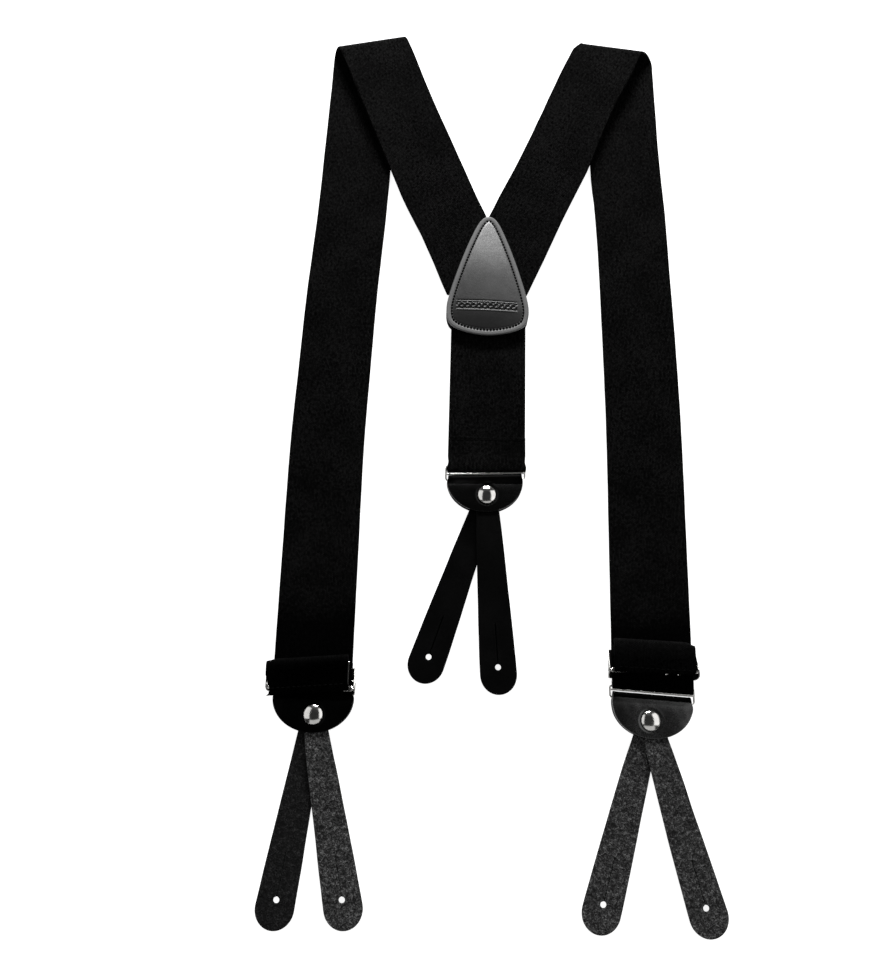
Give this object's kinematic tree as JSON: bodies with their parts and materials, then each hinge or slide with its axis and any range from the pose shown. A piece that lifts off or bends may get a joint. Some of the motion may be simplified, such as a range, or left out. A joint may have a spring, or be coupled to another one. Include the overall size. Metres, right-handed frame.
{
  "type": "suspenders",
  "caption": "Y-back button-on suspenders in wide black elastic webbing, with a leather yoke, adjusters and riveted leather button tabs.",
  "frame": {"origin": "centre of the object's outline, on the surface it lies on", "axes": "+Y from the button tabs towards the shoulder folds, +Z up, away from the surface, +X to the right seen from above with +Y up"},
  "size_m": [0.2847, 0.6258, 0.012],
  "materials": {
    "webbing": "black elastic webbing, flat plain weave, matt",
    "tab_leather_rough": "black split leather, rough fibrous side out",
    "tab_leather_smooth": "black leather, smooth grain side out, dull",
    "end_leather": "black leather, smooth, soft sheen",
    "yoke_leather": "black leather, satin, raised turned edge",
    "thread": "black polyester thread",
    "nickel": "bright nickel plate on steel"
  },
  "bodies": {
    "yoke_and_straps": {"left_strap": "webbing", "right_strap": "webbing", "back_strap": "webbing", "yoke_back_patch": "yoke_leather", "yoke_front_patch": "yoke_leather", "yoke_stitching": "thread", "back_hem_stitching": "thread"},
    "left_link": {"left_link_ring": "nickel", "left_strap_loop": "webbing"},
    "left_adjuster": {"left_adjuster_plate": "nickel", "left_return_band": "webbing"},
    "left_toothed_bar": {"left_toothed_bar": "nickel", "left_end_flap": "webbing", "left_end_stitching": "thread"},
    "right_link": {"right_link_ring": "nickel", "right_strap_loop": "webbing"},
    "right_adjuster": {"right_adjuster_plate": "nickel", "right_return_band": "webbing"},
    "right_toothed_bar": {"right_toothed_bar": "nickel", "right_end_flap": "webbing", "right_end_stitching": "thread"},
    "left_end": {"left_end_leather": "end_leather", "left_rivet_cap": "nickel", "left_rivet_back": "nickel"},
    "left_lower_tab": {"left_tab_lower": "tab_leather_rough"},
    "left_upper_tab": {"left_tab_upper": "tab_leather_rough"},
    "right_end": {"right_end_leather": "end_leather", "right_rivet_cap": "nickel", "right_rivet_back": "nickel"},
    "right_lower_tab": {"right_tab_lower": "tab_leather_rough"},
    "right_upper_tab": {"right_tab_upper": "tab_leather_rough"},
    "back_link": {"back_link_ring": "nickel"},
    "back_end": {"back_end_leather": "end_leather", "back_rivet_cap": "nickel", "back_rivet_back": "nickel"},
    "back_lower_tab": {"back_tab_lower": "tab_leather_smooth"},
    "back_upper_tab": {"back_tab_upper": "tab_leather_smooth"}
  },
  "joints": [
    {"name": "left_length", "type": "slide", "parent": "yoke_and_straps", "child": "left_link", "axis": [0, 1, 0], "range_m": [0, 0.05], "deforming": ["left_strap_loop"]},
    {"name": "left_adjuster_slide", "type": "slide", "parent": "left_link", "child": "left_adjuster", "axis": [0, 1, 0], "range_m": [0, 0.05], "deforming": ["left_return_band"]},
    {"name": "left_bar_hinge", "type": "hinge", "parent": "left_adjuster", "child": "left_toothed_bar", "pos_m": [-0.1141, -0.1718, 0.0077], "axis": [1, 0, 0], "range_deg": [0, 60]},
    {"name": "right_length", "type": "slide", "parent": "yoke_and_straps", "child": "right_link", "axis": [0, 1, 0], "range_m": [0, 0.05], "deforming": ["right_strap_loop"]},
    {"name": "right_adjuster_slide", "type": "slide", "parent": "right_link", "child": "right_adjuster", "axis": [0, 1, 0], "range_m": [0, 0.05], "deforming": ["right_return_band"]},
    {"name": "right_bar_hinge", "type": "hinge", "parent": "right_adjuster", "child": "right_toothed_bar", "pos_m": [0.1007, -0.1555, 0.0077], "axis": [1, 0, 0], "range_deg": [0, 60]},
    {"name": "left_end_hinge", "type": "hinge", "parent": "left_link", "child": "left_end", "pos_m": [-0.114, -0.1754, 0.00325], "axis": [-1, 0, 0], "range_deg": [0, 60]},
    {"name": "left_lower_tab_swivel", "type": "hinge", "parent": "left_end", "child": "left_lower_tab", "pos_m": [-0.1114, -0.1878, 0.00325], "axis": [0, 0, 1], "range_deg": [-25, 8.4]},
    {"name": "left_upper_tab_swivel", "type": "hinge", "parent": "left_end", "child": "left_upper_tab", "pos_m": [-0.1114, -0.1878, 0.00485], "axis": [0, 0, 1], "range_deg": [-12.4, 25]},
    {"name": "right_end_hinge", "type": "hinge", "parent": "right_link", "child": "right_end", "pos_m": [0.1007, -0.1735, 0.00325], "axis": [-1, 0, 0], "range_deg": [0, 60]},
    {"name": "right_lower_tab_swivel", "type": "hinge", "parent": "right_end", "child": "right_lower_tab", "pos_m": [0.0982, -0.1859, 0.00325], "axis": [0, 0, 1], "range_deg": [-25, 15.9]},
    {"name": "right_upper_tab_swivel", "type": "hinge", "parent": "right_end", "child": "right_upper_tab", "pos_m": [0.0982, -0.1859, 0.00485], "axis": [0, 0, 1], "range_deg": [-15.8, 25]},
    {"name": "back_link_hinge", "type": "hinge", "parent": "yoke_and_straps", "child": "back_link", "pos_m": [-0.0064, -0.0237, 0.00325], "axis": [-1, 0, 0], "range_deg": [0, 60]},
    {"name": "back_end_hinge", "type": "hinge", "parent": "back_link", "child": "back_end", "pos_m": [-0.0064, -0.0323, 0.00325], "axis": [-1, 0, 0], "range_deg": [0, 75]},
    {"name": "back_lower_tab_swivel", "type": "hinge", "parent": "back_end", "child": "back_lower_tab", "pos_m": [-0.0055, -0.0437, 0.00325], "axis": [0, 0, 1], "range_deg": [-20, 18.4]},
    {"name": "back_upper_tab_swivel", "type": "hinge", "parent": "back_end", "child": "back_upper_tab", "pos_m": [-0.0055, -0.0437, 0.00485], "axis": [0, 0, 1], "range_deg": [-4.5, 25]}
  ],
  "couplings": [
    {"joint": "left_adjuster_slide", "follows": "left_length", "ratio": 1},
    {"joint": "right_adjuster_slide", "follows": "right_length", "ratio": 1}
  ]
}
